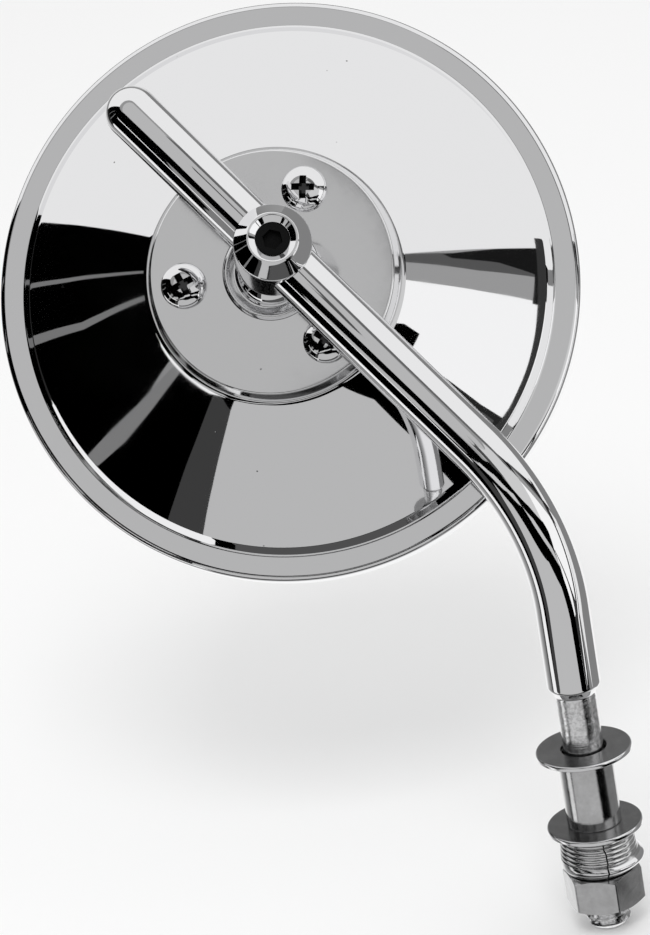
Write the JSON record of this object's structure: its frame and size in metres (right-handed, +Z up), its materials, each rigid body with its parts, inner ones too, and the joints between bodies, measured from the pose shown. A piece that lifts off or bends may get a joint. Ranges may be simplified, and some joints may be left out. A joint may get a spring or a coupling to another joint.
{
  "type": "motorcycle mirror",
  "caption": "Round chrome motorcycle mirror on a ball joint that slides on a bent rod stem, with a threaded stud and its hardware.",
  "frame": {"origin": "centre of the rod's shoulder, where the mounting stud starts", "axes": "+Z up the stud's axis into the rod; the stem bends towards -X; the back of the head looks towards -Y and the glass towards +Y"},
  "size_m": [0.125, 0.0741, 0.1561],
  "materials": {
    "chrome_rod": "polished chrome plate",
    "chrome_clamp": "polished chrome plate",
    "chrome_shell": "polished chrome plate on spun steel",
    "chrome_plate": "polished chrome plate with a soft bloom on the flat face",
    "chrome_ring": "polished chrome plate",
    "chrome_screws": "polished chrome plate",
    "plated_washer": "dull zinc plate on the faces, bright edges",
    "plated_sleeve": "bright zinc plate, turned",
    "plated_lock": "bright zinc plate, ribbed",
    "plated_nut": "zinc plate",
    "black_screw": "black oxide",
    "nylon": "natural nylon",
    "zinc_anchor": "zinc plate",
    "felt": "grey felt",
    "mirror_glass": "silvered glass",
    "rubber": "black rubber"
  },
  "bodies": {
    "stem": {"stem_rod": "chrome_rod", "upper_washer": "plated_washer", "spacer_sleeve": "plated_sleeve", "lower_washer": "plated_washer", "lock_washer": "plated_lock", "hex_nut": "plated_nut"},
    "clamp": {"ball_stud": "chrome_clamp", "clamp_set_screw": "black_screw"},
    "lower_liner": {"ball_cup": "nylon"},
    "upper_liner": {"seat_ring": "chrome_ring"},
    "head": {"back_plate": "chrome_plate", "plate_screw_1": "chrome_screws", "plate_screw_2": "chrome_screws", "plate_screw_3": "chrome_screws", "back_shell": "chrome_shell", "anchor_plate": "zinc_anchor", "backing_pad": "felt", "mirror_glass": "mirror_glass", "glass_gasket": "rubber"}
  },
  "joints": [
    {"name": "clamp_slide", "type": "slide", "parent": "stem", "child": "clamp", "axis": [-0.7071, 0, 0.7071], "range_m": [-0.024, 0.028]},
    {"name": "head_tilt", "type": "hinge", "parent": "clamp", "child": "lower_liner", "pos_m": [-0.05749, 0.01296, 0.07144], "axis": [0.7071, 0, -0.7071], "range_deg": [-26.5, 9.5]},
    {"name": "head_swing", "type": "hinge", "parent": "lower_liner", "child": "upper_liner", "pos_m": [-0.05749, 0.01296, 0.07144], "axis": [0.5534, 0.6225, 0.5534], "range_deg": [-16, 20]},
    {"name": "head_spin", "type": "hinge", "parent": "upper_liner", "child": "head", "pos_m": [-0.05749, 0.01296, 0.07144], "axis": [0.4152, -0.7821, 0.4646], "continuous": true}
  ]
}
